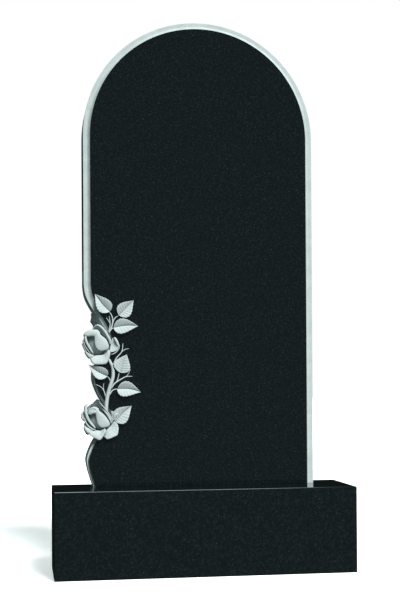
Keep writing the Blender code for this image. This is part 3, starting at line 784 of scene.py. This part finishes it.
studio = {
    "floorSize": 60,
    "floorColour": (0.80, 0.80, 0.80, 1),
    "floorGlow": 0.5,                       # keeps the shadow on the floor pale
    "floorRoughness": 0.9,
    "floorSpecular": 0.1,
    "sunFrom": (0.27, -0.60, 0.62),
    "sunStrength": 8.2,
    "sunAngle": 25,                         # degrees, soft shadows
    "background": (1, 1, 1, 1),
    "fillFrom": (0.45, -0.45, 0.77),
    "fillRange": (-0.7, 0.8),               # share of a direction towards it, from shade to fill
    "fill": (0.30, 0.42, 0.40, 1),
    "shade": (0.05, 0.09, 0.085, 1),
    "card": (0.128, 0.174, 0.196, 1),       # pale card all round, which only the polish mirrors
    "dark": (0.006, 0.008, 0.008, 1),       # dark band behind, for the top of the plinth
    "bandHeight": -0.02,                    # rise of the rays to the middle of the band
    "bandRange": (0.27, 0.19),              # from its middle, up or down, to nothing and to full dark
    "bandBehind": (-0.2, 0.2),
    "softbox": (7.6, 8.6, 8.6, 1),          # lamp overhead, mirrored by the upper arrises
    "softboxRise": (0.80, 0.92),            # shares of a direction upwards and to the right
    "softboxAside": (0.36, 0.18),
    # camera, in metres and radians, and its lens in pixels of the photo
    "lens": 1147,
    "sensor": 36,
    "frameHeight": 600,
    "centreRow": 376.44,                    # row of the photo that the camera looks along
    "camera": (-0.4191, -2.6809, 0.4413),
    "yaw": 0.1541,
    "pitch": 0.0062,
    "roll": 0.0057,
}


# Flat floor that takes the shadow; the stone neither mirrors it nor takes light from it
def makeFloor():
    half = studio["floorSize"] / 2
    corners = [(-half, -half, 0), (half, -half, 0), (half, half, 0), (-half, half, 0)]
    mesh = bpy.data.meshes.new("floor")
    mesh.from_pydata(corners, [], [(0, 1, 2, 3)])
    paper = bpy.data.materials.new("floor paper")
    paper.use_nodes = True
    shader = paper.node_tree.nodes["Principled BSDF"]
    shader.inputs["Base Color"].default_value = studio["floorColour"]
    shader.inputs["Roughness"].default_value = studio["floorRoughness"]
    shader.inputs["Specular IOR Level"].default_value = studio["floorSpecular"]
    shader.inputs["Emission Color"].default_value = studio["background"]
    shader.inputs["Emission Strength"].default_value = studio["floorGlow"]
    mesh.materials.append(paper)
    floor = bpy.data.objects.new("floor", mesh)
    floor.visible_diffuse = False
    floor.visible_glossy = False
    bpy.context.scene.collection.objects.link(floor)
    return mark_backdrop(floor)


# The world is white to the camera. It lights the stone from a wide soft fill on one side, and the
# polish mirrors a pale card, a dark band low behind, and a lamp overhead
def makeWorld():
    world = bpy.data.worlds.new("studio")
    bpy.context.scene.world = world
    world.use_nodes = True
    tree = world.node_tree
    tree.nodes.clear()
    direction = addNode(tree, "ShaderNodeTexCoord").outputs["Generated"]
    parts = addNode(tree, "ShaderNodeSeparateXYZ")
    towards = addNode(tree, "ShaderNodeVectorMath", {1: studio["fillFrom"]}, operation="DOT_PRODUCT")
    spread = rampNode(tree, studio["fillRange"], "SMOOTHSTEP")
    fill = mixColours(tree, studio["shade"], studio["fill"])
    behind = rampNode(tree, studio["bandBehind"], "SMOOTHSTEP")
    fromBand = addNode(tree, "ShaderNodeMath", {1: studio["bandHeight"]}, operation="SUBTRACT")
    apart = addNode(tree, "ShaderNodeMath", operation="ABSOLUTE")
    level = rampNode(tree, studio["bandRange"], "SMOOTHSTEP")
    band = addNode(tree, "ShaderNodeMath", operation="MULTIPLY")
    room = mixColours(tree, studio["card"], studio["dark"])
    above = rampNode(tree, studio["softboxRise"], "SMOOTHSTEP")
    aside = rampNode(tree, studio["softboxAside"], "SMOOTHSTEP")
    lamp = addNode(tree, "ShaderNodeMath", operation="MULTIPLY")
    mirrored = mixColours(tree, None, studio["softbox"])
    ray = addNode(tree, "ShaderNodeLightPath")
    seen = mixColours(tree, None, studio["background"])
    light = mixColours(tree, None, None)
    sky = addNode(tree, "ShaderNodeBackground", {"Strength": 1.0})
    out = addNode(tree, "ShaderNodeOutputWorld")
    tree.links.new(direction, parts.inputs["Vector"])
    tree.links.new(direction, towards.inputs[0])
    tree.links.new(towards.outputs["Value"], spread.inputs["Value"])
    tree.links.new(spread.outputs["Result"], fill.inputs["Factor"])
    tree.links.new(parts.outputs["Y"], behind.inputs["Value"])
    tree.links.new(parts.outputs["Z"], fromBand.inputs[0])
    tree.links.new(fromBand.outputs["Value"], apart.inputs[0])
    tree.links.new(apart.outputs["Value"], level.inputs["Value"])
    tree.links.new(behind.outputs["Result"], band.inputs[0])
    tree.links.new(level.outputs["Result"], band.inputs[1])
    tree.links.new(band.outputs["Value"], room.inputs["Factor"])
    tree.links.new(parts.outputs["Z"], above.inputs["Value"])
    tree.links.new(parts.outputs["X"], aside.inputs["Value"])
    tree.links.new(above.outputs["Result"], lamp.inputs[0])
    tree.links.new(aside.outputs["Result"], lamp.inputs[1])
    tree.links.new(room.outputs["Result"], mirrored.inputs["A"])
    tree.links.new(lamp.outputs["Value"], mirrored.inputs["Factor"])
    tree.links.new(ray.outputs["Is Glossy Ray"], light.inputs["Factor"])
    tree.links.new(fill.outputs["Result"], light.inputs["A"])
    tree.links.new(mirrored.outputs["Result"], light.inputs["B"])
    tree.links.new(ray.outputs["Is Camera Ray"], seen.inputs["Factor"])
    tree.links.new(light.outputs["Result"], seen.inputs["A"])
    tree.links.new(seen.outputs["Result"], sky.inputs["Color"])
    tree.links.new(sky.outputs["Background"], out.inputs["Surface"])


# Soft key light from above, in front and a little to the right, which the polish does not mirror
def makeSun():
    lamp = bpy.data.lights.new("key", "SUN")
    lamp.energy = studio["sunStrength"]
    lamp.angle = math.radians(studio["sunAngle"])
    sun = bpy.data.objects.new("key", lamp)
    sun.visible_glossy = False
    sun.rotation_euler = Vector(studio["sunFrom"]).to_track_quat("Z", "Y").to_euler()
    bpy.context.scene.collection.objects.link(sun)


# Camera that looks along the yaw and the pitch, turned about that line by the roll
def makeCamera():
    yaw, pitch, roll = studio["yaw"], studio["pitch"], studio["roll"]
    ahead = Vector((math.sin(yaw) * math.cos(pitch), math.cos(yaw) * math.cos(pitch), math.sin(pitch)))
    right = Vector((math.cos(yaw), -math.sin(yaw), 0))
    down = ahead.cross(right)
    across = math.cos(roll) * right + math.sin(roll) * down
    below = -math.sin(roll) * right + math.cos(roll) * down
    lens = bpy.data.cameras.new("photo view")
    lens.sensor_width = studio["sensor"]
    lens.lens = studio["sensor"] * studio["lens"] / studio["frameHeight"]
    lens.shift_y = (studio["centreRow"] - studio["frameHeight"] / 2) / studio["frameHeight"]
    camera = bpy.data.objects.new("photo view", lens)
    turned = Matrix((across, -below, -ahead)).transposed().to_4x4()
    turned.translation = Vector(studio["camera"])
    camera.matrix_world = turned
    bpy.context.scene.collection.objects.link(camera)
    bpy.context.scene.camera = camera


makeFloor()
makeWorld()
makeSun()
makeCamera()
bpy.context.scene.view_settings.view_transform = "Standard"
print("studio lit")
